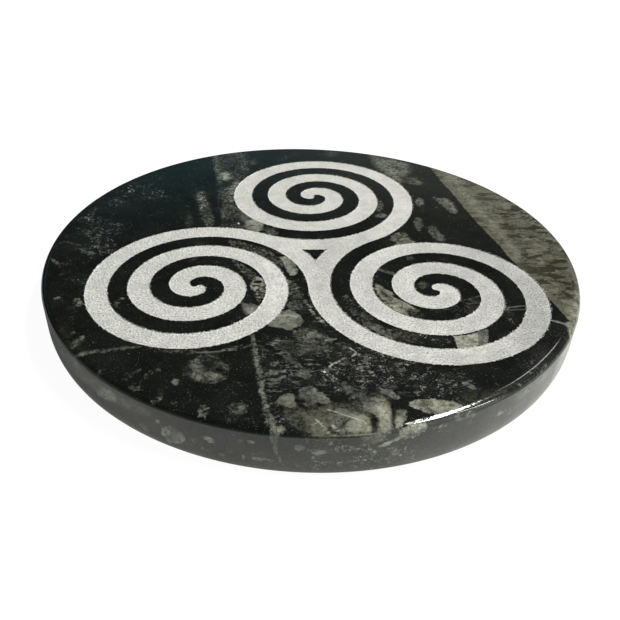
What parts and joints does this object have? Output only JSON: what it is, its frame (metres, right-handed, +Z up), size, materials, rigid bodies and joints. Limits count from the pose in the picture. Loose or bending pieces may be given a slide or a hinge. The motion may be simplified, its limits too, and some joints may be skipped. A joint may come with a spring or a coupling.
{
  "type": "orthoceras fossil disc",
  "caption": "Flat round disc of polished black fossil limestone with a triskele spiral engraved in its top face, for display or as a stand",
  "frame": {"origin": "centre of the disc's outline, on the surface that it rests on", "axes": "+Z up out of the engraved face, +Y towards the spiral that is furthest from the viewer, +X to the viewer's right"},
  "size_m": [0.1, 0.1002, 0.0086],
  "materials": {
    "polished_stone": "polished, with a matt pale grey engraved band"
  },
  "bodies": {
    "root": {"stone_disc": "polished_stone"}
  },
  "joints": []
}
